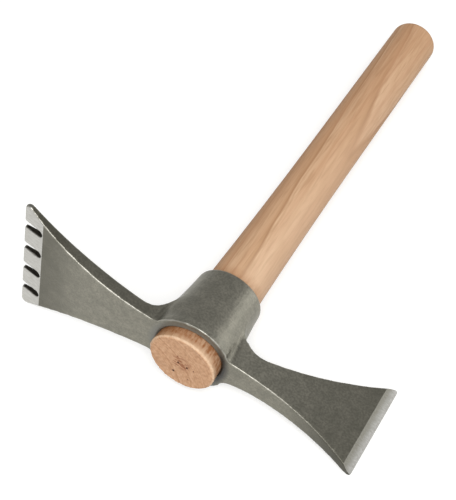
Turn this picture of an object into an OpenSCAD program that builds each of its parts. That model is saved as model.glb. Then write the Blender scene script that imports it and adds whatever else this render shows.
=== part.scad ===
// Hand mattock: a forged head with a toothed adze and an axe, driven on a turned wooden handle.
// X runs along the head, axe at +X and adze at -X. Y runs along the handle towards the grip.
// Z is up. The origin is the centre of the handle's butt face, in front of the head.

/* [Handle] */
// Length of the handle from butt face to grip end
handle_len = 355; // [300:1:420]
// Diameter of the butt, the flared end in front of the head
butt_d = 45; // [42:0.1:47]
// How far the butt stands out in front of the head
butt_proud = 8.8; // [4:0.2:14]
// Chamfer round the butt face
butt_chamfer = 1.2; // [0.4:0.1:2.5]
// Diameter of the handle where it leaves the collar
throat_d = 37.5; // [35:0.1:39]
// Diameter of the straight grip
grip_d = 33.8; // [30:0.1:35]
// Length of the straight grip
grip_len = 150; // [100:1:200]
// Round-over at the grip's end
grip_round = 5.5; // [3:0.5:12]

/* [Collar] */
// Length of the collar along the handle
collar_len = 53; // [40:0.2:65]
// Lean of the head's front face from square to the handle, adze side forward, in degrees
front_lean = 2.4; // [0:0.1:4]
// Wall of the collar at the head's front face
collar_wall_front = 6.6; // [5:0.1:9]
// Wall of the collar at its rim
collar_wall_rim = 3.8; // [3:0.1:6]
// How far the collar's side curves in between the front face and the rim
collar_waist = 0.6; // [0.2:0.1:1.5]
// Round-over on the rim's outer edge
rim_round = 2.3; // [1:0.1:2.8]
// Radial gap between the handle's seat and the eye
seat_gap = 0.1; // [0.05:0.01:0.3]
// Chamfer round the eye's mouth
eye_chamfer = 1.2; // [0.5:0.1:2]

/* [Adze] */
// Reach of the adze from the handle's axis to its edge
adze_reach = 123.4; // [100:0.1:150]
// Width of the adze's edge, measured to the sharp corners
adze_edge_w = 103.5; // [80:0.5:120]
// Width of the adze's neck, where the flare starts
adze_neck_w = 28.5; // [22:0.5:34]
// Distance from the handle's axis to the start of the flare
adze_flare_start = 6.9; // [0:0.1:20]
// How far the adze's back face lies behind the head's front face
adze_root_t = 6.8; // [5.5:0.1:9]
// How far the adze's edge curls back behind the head's front face
adze_curl = 4.9; // [4.5:0.1:7]
// Thickness of the adze at its edge
adze_edge_t = 1.8; // [0.6:0.1:2.2]
// Length of the ground bevel on the adze's face
adze_bevel_len = 14.7; // [10:0.1:18]
// How much the ground bevel takes off the face at the edge
adze_bevel_cut = 0.5; // [0.2:0.1:1]
// Radius of the adze's two outer corners
adze_corner_r = 2.8; // [1:0.1:4]
// Fillet from the adze's back face up the collar
adze_web_r = 20; // [12:0.5:26]

/* [Adze teeth] */
// Number of slots that part the teeth
slot_count = 4; // [2:1:4]
// Width of a slot
slot_w = 6; // [4.5:0.1:7]
// Depth of a slot from the edge
slot_depth = 13.8; // [9:0.1:16]
// Distance from one slot to the next
slot_pitch = 20.8; // [14:0.1:22]
// Radius of the teeth's corners at a slot's mouth
tooth_round = 1.2; // [0.5:0.1:2]

/* [Axe] */
// Reach of the axe from the handle's axis to its edge
axe_reach = 121.1; // [100:0.1:150]
// Width of the axe's edge, measured to the sharp corners
axe_edge_w = 70; // [50:1:90]
// How far the edge's front corner lies in front of the head's front face
axe_edge_lead = 19.5; // [10:0.2:28]
// Distance from the handle's axis to the neck's narrowest place
axe_neck_at = 35.5; // [32:0.5:45]
// How far the axe's back outline lies behind the head's front face, at the handle's axis
axe_back = 12.8; // [11:0.2:18]
// Thickness of the axe at the start of its straight cheeks
axe_cheek_t = 15.6; // [11:0.2:18]
// Distance from the handle's axis to the start of the straight cheeks
axe_cheek_at = 50; // [44:1:64]
// Radius of the hollow between the cheeks and the collar
axe_hollow_r = 175; // [100:5:250]
// Thickness of the axe at its bevel line
axe_bevel_t = 6.6; // [4:0.1:9]
// Length of the ground bevels
axe_bevel_len = 6.6; // [4:0.1:10]
// Thickness of the axe at its edge
axe_edge_t = 0.7; // [0.4:0.1:1.2]
// Radius of the axe's two corners
axe_corner_r = 2.3; // [1:0.1:4]
// Fillet from the axe's back outline up the collar
axe_web_r = 19; // [12:0.5:22]

/* [Blends] */
// Fillet between the collar's front ring and the arms
ring_fillet_r = 7; // [4:0.5:10]
// How deep the blends run into the collar
blend_sink = 0.6; // [0.3:0.1:1]
// Depth of the grooves that part the collar from the axe's cheeks, at the head's front face
groove_depth = 0.8; // [0.3:0.1:1.2]
// Distance behind the head's front face at which the grooves run out
groove_run = 17; // [10:1:25]

/* [Hidden] */
$fn = 96;

// Largest distance from a drawn arc to its true circle
arc_tol = 0.03;
// Largest turn between two points of an arc, in degrees
arc_turn = 10;
// Spare length of the cutting tools
spare = 1;

// The handle's seat is one taper from the butt face to the collar's rim
collar_front_y = butt_proud;
collar_rim_y = collar_front_y + collar_len;
seat_slope = (butt_d - throat_d) / 2 / collar_rim_y;
grip_start_y = handle_len - grip_len;

// The collar narrows towards its rim, with a hollow side that is an arc
eye_front_r = seat_r(collar_front_y) + seat_gap;
eye_rim_r = seat_r(collar_rim_y) + seat_gap;
ring_r = eye_front_r + collar_wall_front;
rim_r = eye_rim_r + collar_wall_rim;
collar_slope = (ring_r - rim_r) / collar_len;
side_chord = norm([ring_r - rim_r, collar_len]);
side_r = arc_rise_r(side_chord / 2, collar_waist);
side_c = [ring_r + rim_r, collar_len] / 2 + (side_r - collar_waist) * unit([collar_len, ring_r - rim_r]);
front_slope = tan(front_lean);

// Each arm is drawn along +X, with its outline's Y counted from the head's front face
adze_flare_r = arc_rise_r(adze_reach - adze_flare_start, (adze_edge_w - adze_neck_w) / 2);
adze_flare_c = [adze_flare_start, adze_neck_w / 2 + adze_flare_r];
adze_face_start = [ring_r, -ring_r * front_slope];
adze_face_chord = [adze_reach, adze_curl - adze_bevel_cut] - adze_face_start;
adze_face_in = [sin(front_lean), cos(front_lean)];
adze_face_r = adze_face_chord * adze_face_chord / (2 * adze_face_chord * adze_face_in);
adze_face_c = adze_face_start + adze_face_r * adze_face_in;
adze_bow = adze_face_r - adze_face_c.y;
adze_back_slope = (adze_root_t - adze_curl - adze_edge_t) / adze_reach;

axe_neck = [axe_neck_at, axe_neck_at * front_slope];
axe_front_r = arc_rise_r(axe_reach - axe_neck.x, axe_edge_lead + axe_neck.y);
axe_front_c = axe_neck - [0, axe_front_r];
axe_back_r = arc_rise_r(axe_reach, axe_edge_w - axe_edge_lead - axe_back);
axe_back_c = [0, axe_back + axe_back_r];
axe_bevel_at = axe_reach - axe_bevel_len;
axe_cheek_dir = unit([axe_bevel_at - axe_cheek_at, (axe_bevel_t - axe_cheek_t) / 2]);
axe_hollow_c = [axe_cheek_at, axe_cheek_t / 2] + axe_hollow_r * [-axe_cheek_dir.y, axe_cheek_dir.x];

// Each arm keeps one half-thickness from the collar's ring inwards
adze_root = circle_at_x(adze_flare_c, adze_flare_r, ring_r, -1);
axe_root = circle_at_x(axe_hollow_c, axe_hollow_r, ring_r, -1);

// Radius of the handle's seat at a distance from the butt face
function seat_r(y) = butt_d / 2 - seat_slope * y;

// Radius of the collar at a distance behind the head's front face
function collar_r(y) = side_c.x - sqrt(side_r * side_r - (y - side_c.y) * (y - side_c.y));

// Radius of an arc that starts level and rises by a height over a run
function arc_rise_r(run, rise) = (run * run + rise * rise) / (2 * rise);

function unit(v) = v / norm(v);

// Point on a circle at a given X, on its upper (side 1) or lower (side -1) half
function circle_at_x(c, r, x, side) = [x, c.y + side * sqrt(r * r - (x - c.x) * (x - c.x))];

// Where two circles cross, to the left (side 1) or right (side -1) of the way from a to b
function circles_meet(a, ra, b, rb, side) =
    let (
        gap = norm(b - a),
        way = unit(b - a),
        along = (gap * gap + ra * ra - rb * rb) / (2 * gap),
        across = sqrt(ra * ra - along * along)
    )
    a + along * way + side * across * [-way.y, way.x];

// Points of an arc about c from p to q, the short way round
function arc(c, p, q) =
    let (
        r = norm(p - c),
        start = atan2(p.y - c.y, p.x - c.x),
        end = atan2(q.y - c.y, q.x - c.x),
        sweep = (end - start + 540) % 360 - 180,
        turn = min(arc_turn, 2 * acos(1 - arc_tol / r)),
        steps = ceil(abs(sweep) / turn)
    )
    [for (i = [0:steps]) c + r * [cos(start + sweep * i / steps), sin(start + sweep * i / steps)]];

// Points turned over the X axis and taken in the other order, to close a symmetric outline
function mirrored(points) = [for (i = [len(points) - 1:-1:0]) [points[i].x, -points[i].y]];

// Rounded corner between a flare outside circle c and the edge line at X = reach
function corner(c, r, reach, corner_r, side) =
    let (
        centre = circle_at_x(c, r + corner_r, reach - corner_r, side),
        on_flare = centre + corner_r * unit(c - centre),
        on_edge = centre + [corner_r, 0]
    )
    arc(centre, on_flare, on_edge);

// Centre of the fillet that runs into the ring by a depth and touches the hollow inside circle c
function ring_fillet_c(c, r, sink) =
    circles_meet([0, 0], ring_r - sink + ring_fillet_r, c, r - ring_fillet_r, -1);

// Concave fillet between the collar's ring about the origin and a hollow inside circle c
function ring_fillet(c, r, sink) =
    let (
        centre = ring_fillet_c(c, r, sink),
        on_ring = (ring_r - sink) * unit(centre),
        on_hollow = c + r * unit(centre - c)
    )
    arc(centre, on_ring, on_hollow);

// X of the collar's surface, a little inside it, at a height over the middle plane
function collar_x(y, half_t) = sqrt(pow(collar_r(y), 2) - half_t * half_t) - blend_sink;

// Lean of a line that stays under the collar's hollow side at a height over the middle plane
function crease_lean(half_t) =
    atan((collar_slope + collar_waist / collar_len) * ring_r / sqrt(ring_r * ring_r - half_t * half_t));

// Turns a profile of radius and distance about the handle's axis
module turned() rotate([-90, 0, 0]) rotate_extrude() children();

// Runs an X-Z outline along the handle between two distances from the head's front face
module along_handle(from, to) translate([0, to, 0]) rotate([90, 0, 0]) linear_extrude(to - from) children();

// Runs an X-Y outline up and down from the middle plane
module across_handle(width) linear_extrude(width, center = true) children();

// Fills the corner between the collar and both sides of an arm, leaning in as the collar narrows
module ring_blend(c, r, sink) {
    fillet = ring_fillet(c, r, sink);
    rotate([0, 0, crease_lean(fillet[0].y)])
        along_handle(-collar_len, 2 * collar_len)
            polygon(concat([[0, 0]], fillet, mirrored(fillet)));
}

// Seen along the handle: neck, flare and rounded corners, the same on both sides
module adze_plan() {
    rounded = corner(adze_flare_c, adze_flare_r, adze_reach, adze_corner_r, -1);
    half = concat([[0, adze_root.y]], arc(adze_flare_c, adze_root, rounded[0]), rounded);
    polygon(concat(half, mirrored(half)));
}

// Seen from the side: bowed face, ground bevel, straight back and the fillet up the collar
module adze_profile() {
    back_angle = atan(adze_back_slope);
    web_y = adze_root_t + adze_web_r;
    web_x = collar_x(web_y, adze_root.y) + adze_web_r;
    web_c = [web_x, adze_root_t - adze_back_slope * web_x + adze_web_r / cos(back_angle)];
    web = arc(web_c, web_c - adze_web_r * [sin(back_angle), cos(back_angle)], web_c - [adze_web_r, 0]);
    bevel_start = circle_at_x(adze_face_c, adze_face_r, adze_reach - adze_bevel_len, -1);
    face = arc(adze_face_c, adze_face_start, bevel_start);
    edge = [[adze_reach, adze_curl], [adze_reach, adze_curl + adze_edge_t]];
    polygon(concat([[0, 0]], face, edge, web, [[0, web_c.y]]));
}

// One slot, open at the edge, with a round inner end and rounded mouth corners
module slot_plan() {
    half_w = slot_w / 2;
    mouth_c = [adze_reach - tooth_round, half_w + tooth_round];
    mouth = arc(mouth_c, mouth_c + [tooth_round, 0], mouth_c - [0, tooth_round]);
    end_c = [adze_reach - slot_depth + half_w, 0];
    end = arc(end_c, end_c + [0, half_w], end_c - [half_w, 0]);
    half = concat([[adze_reach + spare, half_w + tooth_round]], mouth, end);
    polygon(concat(half, mirrored(half)));
}

module adze() {
    difference() {
        intersection() {
            union() {
                along_handle(-adze_bow - spare, collar_len) adze_plan();
                ring_blend(adze_flare_c, adze_flare_r, blend_sink);
            }
            across_handle(adze_edge_w) adze_profile();
        }
        along_handle(-adze_bow - spare, collar_len)
            for (i = [0:slot_count - 1])
                translate([0, (i - (slot_count - 1) / 2) * slot_pitch]) slot_plan();
    }
}

// Seen from above the lying tool: neck, flare to the edge and the fillet up the collar
module axe_plan() {
    front_corner = corner(axe_front_c, axe_front_r, axe_reach, axe_corner_r, 1);
    front = arc(axe_front_c, axe_neck, front_corner[0]);
    back_corner = corner(axe_back_c, axe_back_r, axe_reach, axe_corner_r, -1);
    web_x = collar_x(axe_back + axe_web_r, axe_root.y) + axe_web_r;
    web_c = circle_at_x(axe_back_c, axe_back_r - axe_web_r, web_x, -1);
    web_foot = axe_back_c + axe_back_r * unit(web_c - axe_back_c);
    back = arc(axe_back_c, back_corner[0], web_foot);
    web = arc(web_c, web_foot, web_c - [axe_web_r, 0]);
    edge = [for (i = [len(back_corner) - 1:-1:0]) back_corner[i]];
    polygon(concat([[0, 0]], front, front_corner, edge, back, web, [[0, web_c.y]]));
}

// Seen along the handle: the hollow beside the collar, straight cheeks and two ground bevels
module axe_thickness() {
    hollow = arc(axe_hollow_c, axe_root, [axe_cheek_at, axe_cheek_t / 2]);
    edge = [[axe_bevel_at, axe_bevel_t / 2], [axe_reach, axe_edge_t / 2]];
    half = concat([[0, axe_root.y]], hollow, edge);
    polygon(concat(half, mirrored(half)));
}

module axe() {
    intersection() {
        across_handle(2 * ring_r) axe_plan();
        union() {
            along_handle(-axe_edge_lead - spare, axe_edge_w) axe_thickness();
            ring_blend(axe_hollow_c, axe_hollow_r, groove_depth);
        }
    }
}

// Carries the axe's fillets on into the collar and leaves a ridge above each cheek, fading towards the rim
module axe_grooves() {
    centre = ring_fillet_c(axe_hollow_c, axe_hollow_r, groove_depth);
    fillet = ring_fillet(axe_hollow_c, axe_hollow_r, groove_depth);
    lean = crease_lean(fillet[0].y) - atan(groove_depth / groove_run);
    rotate([0, 0, lean])
        along_handle(-collar_len, 2 * collar_len)
            for (side = [-1, 1])
                translate([centre.x, side * centre.y]) circle(ring_fillet_r);
}

// The room in front of the head's leaning front face
module in_front() {
    width = 4 * ring_r;
    rotate([0, 0, front_lean])
        translate([0, -collar_len / 2, 0])
            cube([width, collar_len, width], center = true);
}

// The wall round the eye, with a hollow side, a rounded rim and the leaning front face
module collar() {
    round_y = collar_len - rim_round;
    round_x = side_c.x - sqrt(pow(side_r + rim_round, 2) - pow(round_y - side_c.y, 2));
    round_c = [round_x, round_y];
    round_start = round_c + rim_round * unit(side_c - round_c);
    side = arc(side_c, [collar_r(-adze_bow), -adze_bow], round_start);
    rim = arc(round_c, round_start, round_c + [0, rim_round]);
    difference() {
        turned() polygon(concat([[0, -adze_bow]], side, rim, [[0, collar_len]]));
        in_front();
        axe_grooves();
    }
}

// The tapered hole for the handle, with a chamfered mouth
module eye() {
    reach_front = -adze_bow - spare;
    reach_rim = collar_len + spare;
    turned() polygon([
        [0, reach_front],
        [eye_front_r - seat_slope * reach_front, reach_front],
        [eye_front_r - seat_slope * reach_rim, reach_rim],
        [0, reach_rim]
    ]);
    rotate([0, 0, front_lean])
        turned() polygon([
            [0, reach_front],
            [eye_front_r + eye_chamfer - reach_front, reach_front],
            [eye_front_r, eye_chamfer],
            [0, eye_chamfer]
        ]);
}

module head() {
    color("#6b6a62")
        translate([0, collar_front_y, 0])
            difference() {
                union() {
                    collar();
                    mirror([1, 0, 0]) adze();
                    axe();
                }
                eye();
            }
}

// Butt, tapered seat, a slow hollow down to the straight grip, and a rounded end
module handle() {
    grip_r = grip_d / 2;
    throat = [throat_d / 2, collar_rim_y];
    grip_start = [grip_r, grip_start_y];
    hollow_c = grip_start + [arc_rise_r(grip_start_y - collar_rim_y, throat.x - grip_r), 0];
    end_c = [grip_r - grip_round, handle_len - grip_round];
    color("#c99b6c")
        turned() polygon(concat(
            [[0, 0], [butt_d / 2 - butt_chamfer, 0], [seat_r(butt_chamfer), butt_chamfer]],
            arc(hollow_c, throat, grip_start),
            arc(end_c, end_c + [grip_round, 0], end_c + [0, grip_round]),
            [[0, handle_len]]
        ));
}

head();
handle();
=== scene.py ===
# %% [markdown]
# # A hand mattock
# A hand mattock is a short digging tool with two pieces: a forged steel head, which has a toothed
# adze on one side and a small axe on the other, and a turned wooden handle that is driven through
# the head's eye. The CAD model gives the true sizes. This lesson gives the two pieces their looks:
# soft forged edges, bright ground bevels, wood grain, and light like that of the photograph.

# %% Load the fixed frame
import math

import bmesh
import bpy
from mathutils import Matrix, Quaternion, Vector


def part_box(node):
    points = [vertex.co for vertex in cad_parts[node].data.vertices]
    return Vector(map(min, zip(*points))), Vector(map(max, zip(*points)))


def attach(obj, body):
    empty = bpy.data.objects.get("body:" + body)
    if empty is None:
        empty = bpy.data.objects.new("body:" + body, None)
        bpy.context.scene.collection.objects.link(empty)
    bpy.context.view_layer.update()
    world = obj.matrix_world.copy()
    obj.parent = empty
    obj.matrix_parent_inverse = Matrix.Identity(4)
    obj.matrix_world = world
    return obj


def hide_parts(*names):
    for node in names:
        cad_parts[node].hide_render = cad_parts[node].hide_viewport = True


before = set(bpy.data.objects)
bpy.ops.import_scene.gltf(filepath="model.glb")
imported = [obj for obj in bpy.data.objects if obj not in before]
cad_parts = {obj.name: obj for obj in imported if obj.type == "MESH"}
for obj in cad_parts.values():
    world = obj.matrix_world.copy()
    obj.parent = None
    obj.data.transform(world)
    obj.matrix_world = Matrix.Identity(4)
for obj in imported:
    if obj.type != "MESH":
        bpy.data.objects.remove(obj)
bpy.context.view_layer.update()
MM = 0.001

# %% [markdown]
# ## The camera
# The tool lies on a table and is seen from the front and above, slightly turned in the picture.
# The camera's place, lens and roll were worked out from the outline of the tool in the photograph.
# A place, a target and a roll say the same as nine numbers of a matrix, and are easier to read.

# %% Camera
CAMERA_AT = Vector((151.46, -418.28, 677.34)) * MM
LOOK_AT = Vector((-21.30, 100.00, -9.65)) * MM
CAMERA_ROLL = math.radians(13.71)
LENS_MM = 95.91
SENSOR_MM = 36.0

bpy.ops.object.select_all(action="DESELECT")
bpy.ops.object.camera_add(location=CAMERA_AT)
camera = bpy.context.object
camera.name = "photo_camera"
aim = (LOOK_AT - CAMERA_AT).to_track_quat("-Z", "Y") @ Quaternion((0, 0, 1), CAMERA_ROLL)
camera.rotation_euler = aim.to_euler()
camera.data.sensor_width = SENSOR_MM
camera.data.lens = LENS_MM
camera.data.clip_start = 10 * MM
bpy.context.scene.camera = camera
print("camera distance in mm:", round((LOOK_AT - CAMERA_AT).length / MM))

# %% [markdown]
# ## Tools for modelling by hand
# Edit mode works on what is selected. A mesh could also be written point by point, but picking and
# moving what is there keeps each step close to what the hand would do. These helpers go into edit
# mode on one piece and pick its faces, edges or points by a test on their place or normal, as the
# mouse would.

# %% Selecting in edit mode
def select_only(piece):
    """Selects one piece and makes it the active one."""
    bpy.ops.object.select_all(action="DESELECT")
    piece.select_set(True)
    bpy.context.view_layer.objects.active = piece


def start_editing(piece):
    """Goes into edit mode on one piece, with nothing in it selected."""
    select_only(piece)
    bpy.ops.object.mode_set(mode="EDIT")
    bpy.ops.mesh.select_all(action="DESELECT")


def pick(piece, kind, test):
    """Selects the verts, edges or faces of the edited piece that pass a test, and counts them."""
    bpy.ops.mesh.select_mode(type={"verts": "VERT", "edges": "EDGE", "faces": "FACE"}[kind])
    bpy.ops.mesh.select_all(action="DESELECT")
    mesh = bmesh.from_edit_mesh(piece.data)
    chosen = [part for part in getattr(mesh, kind) if test(part)]
    for part in chosen:
        part.select_set(True)
    mesh.select_flush_mode()
    bmesh.update_edit_mesh(piece.data)
    return len(chosen)


print("triangles in the CAD's head:", len(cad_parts["head"].data.polygons))

# %% [markdown]
# ## The head's forging
# A smith forges the head from one bar, so its edges are soft and its faces blend into each other.
# It could be modelled again from a cube, but the CAD solid already has the right form, only with
# knife-sharp corners. A copy of it, merged into one skin, is the blank. At the axe's end the ground
# edge is cut off and a blunt end with round corners is drawn out again, because a real blank is
# thick there until the grinder takes the bevels off. The adze's edge gets some stock for the grinder
# too.

# %% Blank of the head
AXE_REACH = 121.1 * MM
AXE_BEVEL_LEN = 6.6 * MM
CUT_TOLERANCE = 0.001 * MM
ON_PLANE = 0.01 * MM
SAME_WAY = 0.999
axe_bevel_at = AXE_REACH - AXE_BEVEL_LEN


def cut_flat(piece, place, direction):
    """Cuts off all that lies beyond a place in a direction, picks the flat cut and counts its faces."""
    normal = Vector(direction).normalized()
    bpy.ops.mesh.select_mode(type="FACE")
    bpy.ops.mesh.select_all(action="SELECT")
    bpy.ops.mesh.bisect(
        plane_co=place, plane_no=normal, use_fill=True, clear_outer=True, threshold=CUT_TOLERANCE
    )
    return pick(piece, "faces", lambda face: (
        face.normal.dot(normal) > SAME_WAY
        and abs((face.calc_center_median() - Vector(place)).dot(normal)) < ON_PLANE
    ))


head = bpy.data.objects.new("forged_head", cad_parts["head"].data.copy())
head.data.name = "forged_head"
head.data.materials.clear()
bpy.context.collection.objects.link(head)
start_editing(head)
bpy.ops.mesh.select_all(action="SELECT")
bpy.ops.mesh.remove_doubles(threshold=CUT_TOLERANCE)
print("faces of the axe's cut:", cut_flat(head, (axe_bevel_at, 0, 0), (1, 0, 0)))

# %% Draw the axe's end out to a blunt edge
AXE_EDGE_W = 70.0 * MM
AXE_BEVEL_T = 6.6 * MM
AXE_CHEEK_SLOPE = 0.07
# The end widens to both sides of this place along the handle
AXE_SPREAD_Y = 19.3 * MM
blunt_t = AXE_BEVEL_T - 2 * AXE_CHEEK_SLOPE * AXE_BEVEL_LEN
cut_y = [v.co.y for v in bmesh.from_edit_mesh(head.data).verts if v.select]
cut_width = max(cut_y) - min(cut_y)
bpy.ops.mesh.extrude_region_move(TRANSFORM_OT_translate={"value": (AXE_BEVEL_LEN, 0, 0)})
bpy.ops.transform.resize(
    value=(1, AXE_EDGE_W / cut_width, blunt_t / AXE_BEVEL_T),
    center_override=(AXE_REACH, AXE_SPREAD_Y, 0),
)
print("axe at its bevel line in mm:", round(cut_width / MM, 2), "wide")

# %% Round the axe's corners
AXE_CORNER_R = 2.3 * MM
CORNER_SEGMENTS = 5
cut_middle = (min(cut_y) + max(cut_y)) / 2


def is_corner(edge):
    """Tells the short edges that run across the two ends of the blunt edge."""
    first, second = (v.co for v in edge.verts)
    at_front = min(first.x, second.x) > AXE_REACH - ON_PLANE
    runs_across = abs(first.y - second.y) < 0.1 * MM
    at_an_end = abs(first.y - cut_middle) > 0.4 * AXE_EDGE_W
    return at_front and runs_across and at_an_end


print("corner edges:", pick(head, "edges", is_corner))
bpy.ops.mesh.bevel(offset=AXE_CORNER_R, segments=CORNER_SEGMENTS, affect="EDGES")

# %% Leave grinding stock on the adze's edge
ADZE_REACH = 123.4 * MM
GRIND_STOCK = 1.0 * MM
AT_EDGE = 0.3 * MM
print("adze edge points:", pick(head, "verts", lambda v: v.co.x < AT_EDGE - ADZE_REACH))
bpy.ops.transform.translate(value=(-GRIND_STOCK, 0, 0))
bpy.ops.object.mode_set(mode="OBJECT")

# %% [markdown]
# Scale and hammering round every edge of a forging to about a millimetre. A bevel on each edge would
# be too regular, and it breaks where many faces meet. A fine voxel remesh gives the blank an even
# skin instead, and a few smoothing passes then soften all of its edges alike.

# %% Even skin and soft edges
def apply_modifier(piece, kind, **settings):
    """Adds a modifier to one piece and applies it."""
    modifier = piece.modifiers.new(kind.lower(), kind)
    for name, value in settings.items():
        setattr(modifier, name, value)
    bpy.context.view_layer.objects.active = piece
    bpy.ops.object.modifier_apply(modifier=modifier.name)


SKIN_VOXEL = 0.7 * MM
SOFT_PASSES = 4
SMOOTHING = 0.5
head.data.remesh_voxel_size = SKIN_VOXEL
head.data.use_remesh_fix_poles = False
bpy.ops.object.voxel_remesh()
apply_modifier(head, "SMOOTH", factor=SMOOTHING, iterations=SOFT_PASSES)
print("skin faces:", len(head.data.polygons))

# %% [markdown]
# Hammering also flows the axe and the adze into the collar. Behind the ridge on the axe's side the
# borders of the CAD's fillets are smoothed away, and on the adze's side the web is pulled out with
# proportional editing, which drags the skin round a point along with it, less and less with distance.

# %% Smooth web on the axe's side
WEB_LOW = Vector((18, 24, -22)) * MM
WEB_HIGH = Vector((29, 54, 22)) * MM
WEB_PASSES = 25
start_editing(head)
print("smoothed points:", pick(head, "verts", lambda v: all(
    low < at < high for low, at, high in zip(WEB_LOW, v.co, WEB_HIGH)
)))
bpy.ops.mesh.vertices_smooth(factor=SMOOTHING, repeat=WEB_PASSES)

# %% Fuller web on the adze's side
WEB_AT = Vector((-22, 24, 17)) * MM
WEB_OUT = Vector((-0.76, 0.39, 0.52))
WEB_PULL = 1.6 * MM
WEB_REACH = 14 * MM
for side in (1, -1):
    mirrored = Vector((1, 1, side))
    web = WEB_AT * mirrored
    nearest = min(bmesh.from_edit_mesh(head.data).verts, key=lambda v: (v.co - web).length).index
    pick(head, "verts", lambda v: v.index == nearest)
    bpy.ops.transform.translate(
        value=WEB_OUT * mirrored * WEB_PULL,
        use_proportional_edit=True,
        proportional_edit_falloff="SMOOTH",
        proportional_size=WEB_REACH,
    )
    print("web pulled out at mm:", [round(v / MM) for v in web])
bpy.ops.object.mode_set(mode="OBJECT")

# %% [markdown]
# The forged adze is a little fuller at its back than the drawn one. Scaling would move its edges
# too. A Displace modifier pushes the back alone, and a vertex group gives each point its share of
# the push, so that the fill grows slowly out of the collar.

# %% Fuller back of the adze
def ramp(value, start, end):
    """Rises from 0 to 1 while the value goes from start to end."""
    return min(max((value - start) / (end - start), 0.0), 1.0)


def push(piece, shares, **settings):
    """Pushes each point of a piece by its own share of a Displace modifier's strength."""
    group = piece.vertex_groups.new(name="pushed")
    for index, share in enumerate(shares):
        group.add([index], share, "REPLACE")
    apply_modifier(piece, "DISPLACE", vertex_group=group.name, mid_level=0.0, **settings)
    piece.vertex_groups.clear()


BACK_FILL = 0.4 * MM
BACK_STARTS = 30 * MM
BACK_FULL = 70 * MM
back_shares = [
    ramp(-v.co.x, BACK_STARTS, BACK_FULL) * ramp(v.normal.y, -0.5, 0.5) for v in head.data.vertices
]
push(head, back_shares, direction="Y", strength=BACK_FILL)
print("points of the back that moved:", sum(share > 0 for share in back_shares))

# %% [markdown]
# ## Marks on the skin
# Edges of a used tool wear bright, and the material adds a painted highlight on them and painted
# shade in the hollows. Painting that by hand would have to be done again after each change of shape,
# so the mesh is measured: where heavy smoothing would pull the skin in there is an edge, and where it
# would push the skin out there is a hollow. The distance is kept on the mesh as an attribute, which
# the material reads later.

# %% Mark edges and hollows
def mark(piece, name, values):
    """Keeps one number for each point of a piece, as an attribute that a material can read."""
    piece.data.attributes.new(name, "FLOAT", "POINT").data.foreach_set("value", values)


MELT_PASSES = 25
soft = bpy.data.objects.new("soft_copy", head.data.copy())
bpy.context.collection.objects.link(soft)
apply_modifier(soft, "SMOOTH", factor=SMOOTHING, iterations=MELT_PASSES)
heights = [
    (sharp.co - smoothed.co).dot(sharp.normal) / MM
    for sharp, smoothed in zip(head.data.vertices, soft.data.vertices)
]
bpy.data.objects.remove(soft)
mark(head, "edge_height", heights)
print("hollows and edges in mm:", round(min(heights), 2), "to", round(max(heights), 2))

# %% [markdown]
# Smoothing has pulled the edges in by a fraction of a millimetre. The outer skin is pushed out again
# by that much. The eye stays as it is, because the handle has to fit, and so does the axe's end,
# which the grinder shapes.

# %% Fill the outer skin
SKIN_FILL = 0.2 * MM
EYE_WALL = (23 * MM, 26 * MM)
BEVEL_ROOM = (2 * MM, 22 * MM)
skin_shares = [
    ramp(math.hypot(v.co.x, v.co.z), *EYE_WALL) * ramp(axe_bevel_at - v.co.x, *BEVEL_ROOM)
    for v in head.data.vertices
]
push(head, skin_shares, strength=SKIN_FILL)
print("points of the skin that moved:", sum(share > 0 for share in skin_shares))

# %% [markdown]
# Two more marks follow. The narrow sides of the adze and the front of the axe's tip get painted
# shade. The walls of the slots between the teeth were cut hot and kept a dark scale, which painted
# shade deepens. Both are told from the place and the direction of the skin.

# %% Mark the sides for painted shade
def side_shade_share(v):
    """How much painted shade a point of the skin gets: 0 on the other faces, 1 on the adze's sides, 2 on
    the axe's tip.
    """
    adze_side = ramp(abs(v.normal.z), 0.6, 0.9) * ramp(-v.co.x, 23 * MM, 33 * MM)
    axe_front = ramp(-v.normal.y, 0.4, 0.7) * ramp(v.co.x, 70 * MM, 108 * MM)
    return adze_side + 2.0 * axe_front


side_shade_shares = [side_shade_share(v) for v in head.data.vertices]
mark(head, "shaded_side", side_shade_shares)
print("dull points:", sum(share > 0.5 for share in side_shade_shares))

# %% Mark the walls of the slots
SLOTS_FROM = 108.0 * MM
OUTER_TOOTH = 8 * MM
SLOTS_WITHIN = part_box("head")[1].z - OUTER_TOOTH


def slot_share(v):
    """How far a point of the skin belongs to the wall of a slot: 0 on the faces, 1 on the walls."""
    near_slots = v.co.x < -SLOTS_FROM and abs(v.co.z) < SLOTS_WITHIN
    behind_edge = ramp(v.co.x + ADZE_REACH, 0.4 * MM, 1.0 * MM)
    return near_slots * behind_edge * ramp(-abs(v.normal.y), -0.8, -0.5)


slot_shares = [slot_share(v) for v in head.data.vertices]
mark(head, "slot_wall", slot_shares)
print("slot wall points:", sum(share > 0.5 for share in slot_shares))

# %% [markdown]
# Hammers and dies leave a forging slightly wavy. Bump in the material would not change its outline,
# so a weak clouds texture displaces the skin itself and leaves shallow dents.

# %% Forging dents
DENT_SIZE = 8.0 * MM
DENT_DEPTH = 0.12 * MM
dents = bpy.data.textures.new("forging_dents", "CLOUDS")
dents.noise_scale = DENT_SIZE
apply_modifier(
    head, "DISPLACE", texture=dents, texture_coords="LOCAL", strength=DENT_DEPTH, mid_level=0.5
)
print("dents in mm:", DENT_SIZE / MM, "wide and", DENT_DEPTH / MM, "deep")

# %% [markdown]
# ## The ground edges
# After forging, the axe gets a bevel on each cheek and the adze one on its face. A grinding wheel
# leaves flat faces with a crisp border. A bevel would follow the skin's dents, but a bisect with a
# fill does just what the wheel does: it cuts the blank along a plane, throws the outer side away and
# closes the cut with a flat face. The bevel on the adze's face is in the blank's form already, so a
# cut there only draws the border of the ground steel.

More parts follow.
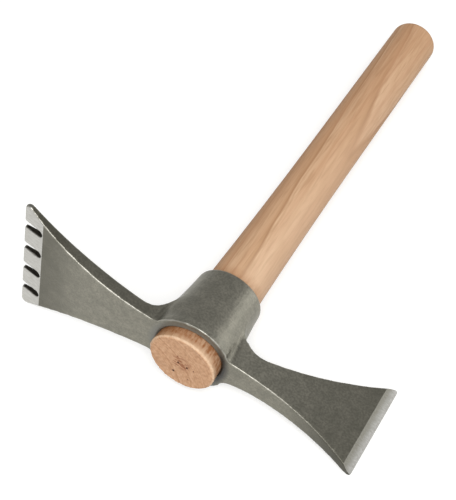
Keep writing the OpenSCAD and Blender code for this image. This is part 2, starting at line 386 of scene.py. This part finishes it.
# %% Grind the axe's bevels and the adze's edge
AXE_EDGE_T = 0.7 * MM
FORGED, GROUND = 0, 1
SKIN_SMOOTH_BELOW = math.radians(40)


def grind(piece, place, direction):
    """Grinds one flat face: cuts it, gives it the ground finish and measures it."""
    cut_flat(piece, place, direction)
    piece.active_material_index = GROUND
    bpy.ops.object.material_slot_assign()
    bpy.ops.mesh.faces_shade_flat()
    area = sum(face.calc_area() for face in bmesh.from_edit_mesh(piece.data).faces if face.select)
    print("ground face in mm2:", round(area / MM ** 2))


for finish_name in ("blasted_forging", "ground_steel"):
    head.data.materials.append(bpy.data.materials.new(finish_name))
select_only(head)
bpy.ops.object.shade_smooth_by_angle(angle=SKIN_SMOOTH_BELOW)
start_editing(head)
bevel_drop = (AXE_BEVEL_T - AXE_EDGE_T) / 2
for side in (1, -1):
    grind(head, (AXE_REACH, 0, side * AXE_EDGE_T / 2), (bevel_drop, 0, side * AXE_BEVEL_LEN))
grind(head, (-ADZE_REACH, 0, 0), (-1, 0, 0))

# %% Part off the adze's ground face
ADZE_BEVEL_AT = 109.0 * MM
bpy.ops.mesh.select_all(action="SELECT")
bpy.ops.mesh.bisect(plane_co=(-ADZE_BEVEL_AT, 0, 0), plane_no=(1, 0, 0), threshold=CUT_TOLERANCE)


def is_ground(face):
    """Faces between the bevel line and the edge that look forwards, up to the walls of the slots."""
    middle = face.calc_center_median()
    steepest = -0.5 if abs(middle.z) < SLOTS_WITHIN else -0.75
    return middle.x < -ADZE_BEVEL_AT and face.normal.y < steepest


print("ground adze faces:", pick(head, "faces", is_ground))
head.active_material_index = GROUND
bpy.ops.object.material_slot_assign()
bpy.ops.object.mode_set(mode="OBJECT")
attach(head, "root")
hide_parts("head")
print("head faces:", len(head.data.polygons))

# %% [markdown]
# ## The handle
# The handle is turned on a lathe: every section across it is a circle. A spin of its profile would
# do, but a ring that is extruded and scaled from station to station works as the lathe does, and
# closes both ends by itself. The stations are read off the CAD handle: each place along the axis
# where its outline changes, with the radius there.

# %% Stations along the handle
PLACE_DIGITS = 5
ON_AXIS = 1 * MM
outline = {}
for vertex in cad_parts["handle"].data.vertices:
    y = round(vertex.co.y, PLACE_DIGITS)
    outline[y] = max(outline.get(y, 0), math.hypot(vertex.co.x, vertex.co.z))
stations = [(y, r) for y, r in sorted(outline.items()) if r > ON_AXIS]
print("stations along the handle:", len(stations))

# %% Turn the handle
HANDLE_SEGMENTS = 160
WELD = 0.005 * MM
first_y, first_r = stations[0]
bpy.ops.object.select_all(action="DESELECT")
bpy.ops.mesh.primitive_circle_add(
    vertices=HANDLE_SEGMENTS,
    radius=first_r,
    fill_type="NGON",
    location=(0, first_y, 0),
    rotation=(math.radians(90), 0, 0),
)
handle = bpy.context.object
handle.name = handle.data.name = "ash_handle"
bpy.ops.object.transform_apply(location=True, rotation=True, scale=True)
bpy.ops.object.mode_set(mode="EDIT")
bpy.ops.mesh.select_mode(type="FACE")
bpy.ops.mesh.select_all(action="SELECT")
# The copy travels along the handle, and the first face stays behind as the butt face
bpy.ops.mesh.duplicate()
for (y0, r0), (y1, r1) in zip(stations, stations[1:]):
    bpy.ops.mesh.extrude_region_move(TRANSFORM_OT_translate={"value": (0, y1 - y0, 0)})
    bpy.ops.transform.resize(value=(r1 / r0, 1, r1 / r0), center_override=(0, y1, 0))
bpy.ops.mesh.select_all(action="SELECT")
bpy.ops.mesh.remove_doubles(threshold=WELD)
bpy.ops.mesh.normals_make_consistent(inside=False)
bpy.ops.object.mode_set(mode="OBJECT")
print("turned faces:", len(handle.data.polygons))

# %% [markdown]
# The butt face has seen the lathe and the mallet. Its edge is a little chewed, which a small random
# push of its points gives. The lathe's driving centre has left small pits in it, which stay dark
# inside. They are cut with cones, because bump alone would leave the face flat from the side.

# %% Chew the edge of the butt
EDGE_CHEW = 0.35 * MM
BUTT_DEPTH = 2 * MM
CHEW_SEED = 4
TURNED_SMOOTH_BELOW = math.radians(25)
start_editing(handle)
print("chewed points:", pick(handle, "verts", lambda v: v.co.y < BUTT_DEPTH))
bpy.ops.transform.vertex_random(offset=EDGE_CHEW, seed=CHEW_SEED)
bpy.ops.object.mode_set(mode="OBJECT")
bpy.ops.object.shade_smooth_by_angle(angle=TURNED_SMOOTH_BELOW)

# %% Pits of the driving centre
WOOD, PIT = 0, 1
DEEP_PITS = [(-1.8, -0.7), (4.2, -1.5), (-3.9, -11.1)]
SHALLOW_PITS = [(9.0, -1.2), (-3.0, 5.4), (6.7, -12.7)]
PIT_SIZE = 0.9 * MM
PIT_SIDES = 10


def cut_pit(x, z, size, seed):
    """Cuts one ragged pit into the butt face with a cone that carries the dirt's finish."""
    bpy.ops.object.select_all(action="DESELECT")
    bpy.ops.mesh.primitive_cone_add(
        vertices=PIT_SIDES,
        radius1=2 * size,
        depth=4 * size,
        location=(x * MM, 0, z * MM),
        rotation=(math.radians(-90), 0, 0),
    )
    cone = bpy.context.object
    bpy.ops.object.mode_set(mode="EDIT")
    bpy.ops.mesh.select_all(action="SELECT")
    bpy.ops.transform.vertex_random(offset=size / 2, seed=seed)
    bpy.ops.object.mode_set(mode="OBJECT")
    for material in handle.data.materials:
        cone.data.materials.append(material)
    cone.data.polygons.foreach_set("material_index", [PIT] * len(cone.data.polygons))
    apply_modifier(handle, "BOOLEAN", object=cone, operation="DIFFERENCE", solver="EXACT")
    bpy.data.objects.remove(cone)


for finish_name in ("lacquered_ash", "pit_dirt"):
    handle.data.materials.append(bpy.data.materials.new(finish_name))
for seed, (x, z) in enumerate(DEEP_PITS + SHALLOW_PITS):
    cut_pit(x, z, PIT_SIZE if (x, z) in DEEP_PITS else PIT_SIZE / 2, seed)
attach(handle, "root")
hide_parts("handle")
print("handle faces:", len(handle.data.polygons))

# %% [markdown]
# ## Tools for materials
# Colours are written as they look on a screen, in sRGB hex, and turned to the linear values that
# the shader needs. One helper adds a node, sets it and wires it. Where it is given a whole node as
# an input, it takes that node's first output that is in use.

# %% Colours and nodes
def linear(hex_code):
    """Turns an sRGB hex colour into the linear colour of a shader socket."""
    levels = [int(hex_code[i:i + 2], 16) / 255 for i in (1, 3, 5)]
    return [v / 12.92 if v <= 0.04045 else ((v + 0.055) / 1.055) ** 2.4 for v in levels] + [1.0]


def add_node(tree, kind, inputs=None, stops=None, **settings):
    """Adds a node, sets its properties, its ramp's stops, and its sockets to values or links."""
    node = tree.nodes.new("ShaderNode" + kind)
    for name, value in settings.items():
        setattr(node, name, value)
    for i, (place, hex_code) in enumerate(stops or []):
        elements = node.color_ramp.elements
        element = elements[i] if i < 2 else elements.new(place)
        element.position = place
        element.color = linear(hex_code)
    for socket, value in (inputs or {}).items():
        if isinstance(value, bpy.types.Node):
            value = next(output for output in value.outputs if output.enabled)
        if isinstance(value, bpy.types.NodeSocket):
            tree.links.new(value, node.inputs[socket])
        else:
            node.inputs[socket].default_value = value
    return node


def start_finish(material):
    """Empties a material's node tree, so that the finish can be built up in it."""
    material.use_nodes = True
    material.node_tree.nodes.clear()
    return material.node_tree


print("middle grey in linear light:", round(linear("#808080")[0], 3))

# %% [markdown]
# ## Forged steel
# Forged carbon steel, blasted clean and lacquered: a grey with an olive cast and a soft, broken
# gloss. The eye sees slow mottling, a fine grain, edges rubbed bright with a painted highlight, and
# painted shade in the hollows, on the sides and round the eye.
# One noise alone would look like stone. So the finish is a list of layers, and each has its place:
# it reads a mark on the skin or a distance on the tool, and is painted over the layers before it.

# %% Blasted skin
forging = start_finish(head.data.materials[FORGED])
steel_at = add_node(forging, "TexCoord").outputs["Object"]
# The mottling comes in soft patches of about 7 mm
mottle = add_node(forging, "TexNoise", {"Vector": steel_at, "Scale": 1 / (7 * MM), "Detail": 6.0})
# Blasted grain is about 0.2 mm wide; it is drawn 1.3 mm wide so that it shows in the render
grain = add_node(forging, "TexNoise", {"Vector": steel_at, "Scale": 1 / (1.3 * MM), "Detail": 4.0})
body = add_node(forging, "ValToRGB", {"Fac": mottle}, stops=[(0.32, "#828075"), (0.68, "#928f83")])
speck = add_node(forging, "MapRange", {
    "Value": grain, "From Min": 0.38, "From Max": 0.62, "To Min": 0.0, "To Max": 0.5
})
layers = [(speck, linear("#66645b"))]
print("nodes of the blasted skin:", len(forging.nodes))

# %% Darker towards both edges
# The steel is darker towards both edges
split = add_node(forging, "SeparateXYZ", {"Vector": steel_at}).outputs
adze_edge_dark = add_node(forging, "MapRange", {
    "Value": split["X"], "From Min": 35 * MM - ADZE_BEVEL_AT, "From Max": -ADZE_BEVEL_AT,
    "To Min": 0.0, "To Max": 0.6,
}, interpolation_type="SMOOTHSTEP")
axe_edge_dark = add_node(forging, "MapRange", {
    "Value": split["X"], "From Min": axe_bevel_at - 80 * MM, "From Max": axe_bevel_at,
    "To Min": 0.0, "To Max": 0.35,
}, interpolation_type="SMOOTHSTEP")
edge_dark = add_node(forging, "Math", {0: adze_edge_dark, 1: axe_edge_dark}, operation="ADD")
layers.append((edge_dark, linear("#4b493f")))
print("layers with the heat:", len(layers))

# %% Painted shade on the sides and in the hollows
SIDE_SHADE_STRENGTH = 0.42
side_shade_mark = add_node(forging, "Attribute", attribute_name="shaded_side").outputs["Fac"]
side_shade = add_node(forging, "Math", {0: side_shade_mark, 1: SIDE_SHADE_STRENGTH}, operation="MULTIPLY")
height = add_node(forging, "Attribute", attribute_name="edge_height").outputs["Fac"]
# Painted shade in the hollows that the edge heights find
hollow_shade = add_node(forging, "MapRange", {
    "Value": height, "From Min": -0.02, "From Max": -0.10, "To Min": 0.0, "To Max": 0.38
})
layers += [(side_shade, linear("#45433a")), (hollow_shade, linear("#3f3d35"))]
print("layers with sides and hollows:", len(layers))

# %% Painted shade round the eye
# Painted shade darkens the front face where the wood leaves the eye, with a painted shadow of the butt
# that is darkest towards the axe
flat_place = add_node(forging, "CombineXYZ", {"X": split["X"], "Z": split["Z"]})
from_axis = add_node(forging, "VectorMath", {0: flat_place}, operation="LENGTH")
near_eye = add_node(forging, "MapRange", {
    "Value": from_axis, "From Min": 24.5 * MM, "From Max": 28.5 * MM, "To Min": 0.95, "To Max": 0.0
})
on_front = add_node(forging, "Math", {0: split["Y"], 1: 14 * MM}, operation="LESS_THAN")
painted_eye_shade = add_node(forging, "Math", {0: near_eye, 1: on_front}, operation="MULTIPLY")
shadow_towards_axe = add_node(forging, "MapRange", {
    "Value": split["X"], "From Min": 15 * MM, "From Max": 22 * MM
})
eye_shadow_colour = add_node(forging, "ValToRGB", {"Fac": shadow_towards_axe}, stops=[
    (0.0, "#74756e"), (1.0, "#191917")
])
layers.append((painted_eye_shade, eye_shadow_colour))
print("layers with the grime:", len(layers))

# %% Rubbed edges with a painted highlight
rub_and_highlight = add_node(forging, "MapRange", {
    "Value": height, "From Min": 0.20, "From Max": 0.45, "To Min": 0.0, "To Max": 0.48
})
patchy = add_node(forging, "MapRange", {
    "Value": mottle, "From Min": 0.35, "From Max": 0.60, "To Min": 0.35, "To Max": 1.0
})
# The axe's edges are rubbed less, and have less painted highlight, towards its tip
painted_falloff = add_node(forging, "MapRange", {
    "Value": split["X"], "From Min": 55 * MM, "From Max": 95 * MM, "To Min": 1.0, "To Max": 0.3
})
for fade in (patchy, painted_falloff):
    rub_and_highlight = add_node(forging, "Math", {0: rub_and_highlight, 1: fade}, operation="MULTIPLY")
layers.append((rub_and_highlight, linear("#dedbd2")))
print("layers with the rubbed edges:", len(layers))


# %% Forged steel finish
def slot_scale_and_shade(tree, place):
    """The layer of dark scale that the cutting heat left on the walls of the slots, deepened by painted
    shade.
    """
    share = add_node(tree, "Attribute", attribute_name="slot_wall").outputs["Fac"]
    scale = add_node(tree, "TexNoise", {"Vector": place, "Scale": 1 / (2 * MM), "Detail": 3.0})
    dark = add_node(tree, "ValToRGB", {"Fac": scale}, stops=[(0.35, "#262420"), (0.70, "#3d3a33")])
    return share, dark


colour = body
for share, over in layers + [slot_scale_and_shade(forging, steel_at)]:
    colour = add_node(forging, "Mix", {"Factor": share, "A": colour, "B": over}, data_type="RGBA")
gloss = add_node(forging, "MapRange", {
    "Value": grain, "From Min": 0.3, "From Max": 0.7, "To Min": 0.50, "To Max": 0.39
})
bump = add_node(forging, "Bump", {"Height": grain, "Strength": 0.4, "Distance": 0.25 * MM})
# The painted shade is no metal, so it takes the metal's reflection away
bare_metal = add_node(forging, "Math", {0: 1.0, 1: painted_eye_shade}, operation="SUBTRACT")
forged_skin = add_node(forging, "BsdfPrincipled", {
    "Base Color": colour, "Metallic": bare_metal, "Roughness": gloss, "Normal": bump
})
add_node(forging, "OutputMaterial", {"Surface": forged_skin})
print("forged steel nodes:", len(forging.nodes))

# %% [markdown]
# ## Ground steel
# Steel fresh from a belt grinder: bright, with fine scratches that run across the edge. They break
# the reflection into streaks. An anisotropic shader could do that too, but a noise that is drawn
# out along the scratches also shows the single streaks.

# %% Scratches of the belt
ground = start_finish(head.data.materials[GROUND])
ground_at = add_node(ground, "TexCoord").outputs["Object"]
# Belt scratches are about 0.1 mm apart; they are drawn 0.7 mm apart so that they show
across_edge = add_node(ground, "Mapping", {"Vector": ground_at, "Scale": (0.05, 1.0, 1.0)})
scratch = add_node(ground, "TexNoise", {
    "Vector": across_edge, "Scale": 1 / (0.7 * MM), "Detail": 3.0
})
streak = add_node(ground, "ValToRGB", {"Fac": scratch}, stops=[(0.30, "#aba9a3"), (0.70, "#c3c2be")])
print("nodes of the scratches:", len(ground.nodes))

# %% Ground steel finish
# The axe's bevel is polished only towards its edge
head_x = add_node(ground, "SeparateXYZ", {"Vector": ground_at}).outputs["X"]
on_axe = add_node(ground, "Math", {0: head_x, 1: 0.0}, operation="GREATER_THAN")
unpolished = add_node(ground, "MapRange", {
    "Value": head_x, "From Min": axe_bevel_at + 1 * MM, "From Max": AXE_REACH - 1 * MM,
    "To Min": 0.6, "To Max": 0.0,
}, interpolation_type="SMOOTHSTEP")
matt = add_node(ground, "Math", {0: unpolished, 1: on_axe}, operation="MULTIPLY")
colour = streak
for share, over in [(matt, linear("#7a7767")), slot_scale_and_shade(ground, ground_at)]:
    colour = add_node(ground, "Mix", {"Factor": share, "A": colour, "B": over}, data_type="RGBA")
bump = add_node(ground, "Bump", {"Height": scratch, "Strength": 0.2, "Distance": 0.1 * MM})
ground_face = add_node(ground, "BsdfPrincipled", {
    "Base Color": colour, "Metallic": 1.0, "Roughness": 0.40, "Normal": bump
})
add_node(ground, "OutputMaterial", {"Surface": ground_face})
print("ground steel nodes:", len(ground.nodes))

# %% [markdown]
# ## Ash wood
# The handle is turned from a plank of pale hardwood such as ash and thinly lacquered, so the eye
# sees long soft tongues of grain, short dark pores and hardly any gloss. A wave texture would make
# the rings too even. Here they are what they are in a tree: cylinders about its heart, which lies
# outside the handle and leans a little. One distance to that heart line gives the rings on the side
# and on the end grain alike.

# %% Distance to the heart of the tree
HEART_AWAY = 42 * MM
HEART_SIDE = math.radians(48.9)
ash = start_finish(handle.data.materials[WOOD])
wood_at = add_node(ash, "TexCoord").outputs["Object"]
heart = add_node(ash, "Mapping", {
    "Vector": wood_at,
    "Location": (HEART_AWAY * math.sin(HEART_SIDE), 0, HEART_AWAY * math.cos(HEART_SIDE)),
})
split = add_node(ash, "SeparateXYZ", {"Vector": heart}).outputs
along = split["Y"]
flat_place = add_node(ash, "CombineXYZ", {"X": split["X"], "Z": split["Z"]})
away = add_node(ash, "VectorMath", {0: flat_place}, operation="LENGTH")
print("heart of the tree in mm:", HEART_AWAY / MM, "from the handle's axis")


# %% Year rings
def streaks(width, squeeze, detail):
    """A noise with spots of one width, drawn out along the handle by squeezing its length."""
    drawn = add_node(ash, "Mapping", {"Vector": wood_at, "Scale": (1.0, squeeze, 1.0)})
    return add_node(ash, "TexNoise", {"Vector": drawn, "Scale": 1 / width, "Detail": detail})


HEART_LEAN = 0.05
RING_START = -0.1 * MM
RING_SWAY = 4 * MM
RING_WIDTH = 9.0 * MM
lean = add_node(ash, "Math", {0: along, 1: HEART_LEAN, 2: RING_START}, operation="MULTIPLY_ADD")
leaned = add_node(ash, "Math", {0: away, 1: lean}, operation="ADD")
sway = streaks(width=18 * MM, squeeze=0.18, detail=4.0)
swayed = add_node(ash, "Math", {0: sway, 1: RING_SWAY, 2: leaned}, operation="MULTIPLY_ADD")
count = add_node(ash, "Math", {0: swayed, 1: RING_WIDTH}, operation="DIVIDE")
ring = add_node(ash, "Math", {0: count}, operation="FRACT")
year = add_node(ash, "ValToRGB", {"Fac": ring}, stops=[
    (0.0, "#ab815d"), (0.05, "#cfac8b"), (0.30, "#cca886"), (0.78, "#c39c79"), (0.91, "#b38a65"),
    (0.97, "#966d48"), (1.0, "#ab815d"),
])
print("year rings in mm:", RING_WIDTH / MM, "wide")

# %% Bands, pores and lines
LINE_WIDTH = 1.3 * MM
# Pores are about 0.2 mm wide; they are drawn 1.5 mm wide, in bands of 3.5 mm, so that they show
band = add_node(ash, "MapRange", {
    "Value": streaks(width=3.5 * MM, squeeze=0.018, detail=3.0),
    "From Min": 0.42, "From Max": 0.66, "To Min": 0.0, "To Max": 0.75,
})
pore_noise = streaks(width=1.5 * MM, squeeze=0.07, detail=3.0)
pore = add_node(ash, "MapRange", {
    "Value": pore_noise, "From Min": 0.46, "From Max": 0.64, "To Min": 0.0, "To Max": 0.55
})
# Thin lines inside each year follow the rings, so they curve round the tongues with them
line_place = add_node(ash, "Math", {0: swayed, 1: LINE_WIDTH}, operation="DIVIDE")
line_noise = add_node(ash, "TexNoise", {
    "W": line_place, "Scale": 1.0, "Detail": 2.0
}, noise_dimensions="1D")
line = add_node(ash, "MapRange", {
    "Value": line_noise, "From Min": 0.45, "From Max": 0.70, "To Min": 0.0, "To Max": 0.4
})
side_layers = [(band, linear("#b98d6b")), (pore, linear("#a27a57")), (line, linear("#ae8560"))]
print("layers of the grain:", len(side_layers))

# %% Heartwood, sapwood and painted shade towards the grip
# Wood nearer to the heart of the tree is warmer and darker, but less so at the end of the grip
heartwood = add_node(ash, "MapRange", {
    "Value": away, "From Min": 40 * MM, "From Max": 56 * MM, "To Min": 0.6, "To Max": 0.0
})
fading = add_node(ash, "MapRange", {
    "Value": along, "From Min": 230 * MM, "From Max": 350 * MM, "To Min": 1.0, "To Max": 0.35
})
warm = add_node(ash, "Math", {0: heartwood, 1: fading}, operation="MULTIPLY")
# Wood far from the heart is pale, and painted shade darkens it from the head towards the grip
sapwood = add_node(ash, "MapRange", {
    "Value": away, "From Min": 55.5 * MM, "From Max": 59 * MM, "To Min": 0.16, "To Max": 0.46
})
painted_falloff = add_node(ash, "MapRange", {"Value": along, "From Min": 80 * MM, "From Max": 330 * MM})
falloff_tone = add_node(ash, "ValToRGB", {"Fac": painted_falloff}, stops=[
    (0.0, "#dcbea1"), (0.75, "#caa789"), (1.0, "#c29c7b")
])
side_layers += [(warm, linear("#a9764a")), (sapwood, falloff_tone)]
side_grain = year
for share, over in side_layers:
    side_grain = add_node(ash, "Mix", {"Factor": share, "A": side_grain, "B": over}, data_type="RGBA")
print("layers of the side grain:", len(side_layers))

# %% Scars of the lathe's spurs
# The spurs of the driving centre have scratched the middle of the butt
axis = add_node(ash, "SeparateXYZ", {"Vector": wood_at}).outputs
axis_place = add_node(ash, "CombineXYZ", {"X": axis["X"], "Z": axis["Z"]})
from_axis = add_node(ash, "VectorMath", {0: axis_place}, operation="LENGTH")
spur_reach = add_node(ash, "MapRange", {
    "Value": from_axis, "From Min": 4 * MM, "From Max": 8 * MM, "To Min": 1.0, "To Max": 0.0
})
drawn = add_node(ash, "Mapping", {
    "Vector": wood_at, "Rotation": (0, math.radians(35), 0), "Scale": (0.3, 1.0, 1.0)
})
scratch = add_node(ash, "TexNoise", {"Vector": drawn, "Scale": 1 / (1.5 * MM), "Detail": 2.0})
scratched = add_node(ash, "MapRange", {
    "Value": scratch, "From Min": 0.45, "From Max": 0.55, "To Min": 0.0, "To Max": 0.75
})
scar = add_node(ash, "Math", {0: scratched, 1: spur_reach}, operation="MULTIPLY")
print("wood nodes so far:", len(ash.nodes))

# %% End grain
# End grain shows the cut pores as dots, so the rings fade among them. A cut pore is about 0.2 mm
# wide; its dot is drawn about 2 mm wide so that it shows
RING_SHARE = 0.20
dots = add_node(ash, "TexNoise", {"Vector": wood_at, "Scale": 1 / (2.4 * MM), "Detail": 4.0})
end_grain = add_node(ash, "ValToRGB", {"Fac": dots}, stops=[
    (0.35, "#b88c6c"), (0.50, "#cca07e"), (0.68, "#d8b08f")
])
end_layers = [(line, linear("#a5714f")), (RING_SHARE, year), (scar, linear("#8a5236"))]
for share, over in end_layers:
    end_grain = add_node(ash, "Mix", {"Factor": share, "A": end_grain, "B": over}, data_type="RGBA")
on_end = add_node(ash, "MapRange", {
    "Value": along, "From Min": 0.4 * MM, "From Max": 1.4 * MM, "To Min": 1.0, "To Max": 0.0
})
print("layers of the end grain:", len(end_layers))

# %% Stain at the seat, and rubbed edge of the butt with a painted highlight
# Handling and the tight seat have darkened the short stretch in front of the head
blotch = add_node(ash, "MapRange", {
    "Value": streaks(width=2 * MM, squeeze=0.4, detail=4.0),
    "From Min": 0.35, "From Max": 0.62, "To Min": 0.35, "To Max": 0.95,
})
seat_starts = add_node(ash, "MapRange", {"Value": along, "From Min": 1.2 * MM, "From Max": 5 * MM})
seat_ends = add_node(ash, "MapRange", {
    "Value": along, "From Min": 54 * MM, "From Max": 72 * MM, "To Min": 1.0, "To Max": 0.0
})
# The turned edge of the butt is rubbed pale and carries a painted highlight
edge_starts = add_node(ash, "MapRange", {
    "Value": along, "From Min": 0.1 * MM, "From Max": 0.5 * MM, "To Min": 0.0, "To Max": 0.8
})
edge_ends = add_node(ash, "MapRange", {
    "Value": along, "From Min": 1.1 * MM, "From Max": 1.8 * MM, "To Min": 1.0, "To Max": 0.0
})
wear_and_highlight_layers = []
for starts, ends, wear_and_highlight_colour in (
    (seat_starts, seat_ends, "#94603a"),
    (edge_starts, edge_ends, "#e2c5a6"),
):
    stretch = add_node(ash, "Math", {0: starts, 1: ends}, operation="MULTIPLY")
    patches = add_node(ash, "Math", {0: stretch, 1: blotch}, operation="MULTIPLY")
    wear_and_highlight_layers.append((patches, linear(wear_and_highlight_colour)))
print("layers of wear:", len(wear_and_highlight_layers))

# %% Wood finish
# The lacquer has the usual IOR of 1.5, but it is so thin and dull that it mirrors little
colour = side_grain
for share, over in [(on_end, end_grain)] + wear_and_highlight_layers:
    colour = add_node(ash, "Mix", {"Factor": share, "A": colour, "B": over}, data_type="RGBA")
bump = add_node(ash, "Bump", {"Height": pore_noise, "Strength": 0.15, "Distance": 0.1 * MM})
wood = add_node(ash, "BsdfPrincipled", {
    "Base Color": colour, "Roughness": 0.55, "IOR": 1.5, "Specular IOR Level": 0.1, "Normal": bump
})
add_node(ash, "OutputMaterial", {"Surface": wood})
print("wood nodes:", len(ash.nodes))

# %% [markdown]
# The pits in the butt hold old dirt and oil. The eye sees dark matt brown specks with no shine at
# all, so a small noise between two browns and a high roughness are enough.

# %% Pit dirt finish
pit = start_finish(handle.data.materials[PIT])
pit_at = add_node(pit, "TexCoord").outputs["Object"]
crumbs = add_node(pit, "TexNoise", {"Vector": pit_at, "Scale": 1 / (1 * MM), "Detail": 2.0})
brown = add_node(pit, "ValToRGB", {"Fac": crumbs}, stops=[(0.35, "#3a2416"), (0.70, "#6b4630")])
dirt = add_node(pit, "BsdfPrincipled", {"Base Color": brown, "Roughness": 0.8})
add_node(pit, "OutputMaterial", {"Surface": dirt})
print("pit dirt nodes:", len(pit.nodes))

# %% [markdown]
# ## The table
# The tool rests on three points: a corner of the adze, the underside of the collar and the end of
# the grip. A flat backdrop would do for the picture alone, but a table through these three points
# gives the tool a true shadow, and the metal mirrors it.

# %% Table under the tool
def lowest(node, test):
    """The lowest point of a CAD node among the points that pass a test."""
    points = [v.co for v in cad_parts[node].data.vertices if test(v.co)]
    return min(points, key=lambda point: point.z)


TABLE_SIZE = 30.0
handle_end = stations[-1][0]
adze_corner = lowest("head", lambda point: point.x < -0.8 * ADZE_REACH)
collar_foot = lowest("head", lambda point: abs(point.x) < 3 * MM)
grip_foot = lowest("handle", lambda point: point.y > 0.9 * handle_end)
table_up = (collar_foot - adze_corner).cross(grip_foot - adze_corner).normalized()
table_up = table_up if table_up.z > 0 else -table_up
bpy.ops.object.select_all(action="DESELECT")
bpy.ops.mesh.primitive_plane_add(size=TABLE_SIZE, location=collar_foot)
table = bpy.context.object
table.name = "white_table"
table.rotation_euler = table_up.to_track_quat("Z", "Y").to_euler()
print("table leans by degrees:", round(math.degrees(table_up.angle(Vector((0, 0, 1)))), 1))

# %% [markdown]
# The table is matt white paper, a plain ground with a soft shadow. More light on it would bleach the
# tool as well, so the paper gets a weak glow that only the camera and the steel see. That lifts it to
# white and keeps its shadow. From below it is clear, so that the tool can be seen from all sides.

# %% Table finish
PAPER_LIFT = 0.55
table.data.materials.append(bpy.data.materials.new("white_paper"))
paper = start_finish(table.data.materials[0])
matt_paper = add_node(paper, "BsdfPrincipled", {"Base Color": linear("#c6c6c4"), "Roughness": 0.9})
ray = add_node(paper, "LightPath").outputs
seen = ray["Is Camera Ray"]
for kind in ("Is Glossy Ray", "Is Transmission Ray"):
    seen = add_node(paper, "Math", {0: seen, 1: ray[kind]}, operation="MAXIMUM")
lift = add_node(paper, "Math", {0: seen, 1: PAPER_LIFT}, operation="MULTIPLY")
glow = add_node(paper, "Emission", {"Strength": lift})
from_above = add_node(paper, "AddShader", {0: matt_paper, 1: glow})
from_below = add_node(paper, "BsdfTransparent")
backfacing = add_node(paper, "NewGeometry").outputs["Backfacing"]
one_sided = add_node(paper, "MixShader", {0: backfacing, 1: from_above, 2: from_below})
add_node(paper, "OutputMaterial", {"Surface": one_sided})
print("table finished:", table.data.materials[0].name)

# %% [markdown]
# ## The light
# The photograph has soft light without hard shadows. One sun would draw them, so the light is a large
# soft box in front and above, a weak small one on the right, and a dim white room all round.

# %% Light
ROOM_LEVEL = 0.55
TOOL_MIDDLE = Vector((0, 100, 0)) * MM
world = bpy.data.worlds.new("dim_room")
world.use_nodes = True
room = world.node_tree.nodes["Background"]
room.inputs["Color"].default_value = (1, 1, 1, 1)
room.inputs["Strength"].default_value = ROOM_LEVEL
bpy.context.scene.world = world


def add_softbox(name, place, size, watts):
    """Hangs a square soft light that looks at the middle of the tool."""
    bpy.ops.object.light_add(type="AREA", location=place)
    softbox = bpy.context.object
    softbox.name = name
    softbox.data.size = size
    softbox.data.energy = watts
    softbox.rotation_euler = (TOOL_MIDDLE - Vector(place)).to_track_quat("-Z", "Y").to_euler()
    print(name, "at", place)


add_softbox("softbox_front", place=(0.4, -0.85, 1.45), size=1.0, watts=24.5)
add_softbox("softbox_right", place=(1.3, 1.2, 0.5), size=0.6, watts=4.0)
bpy.context.scene.view_settings.view_transform = "Standard"
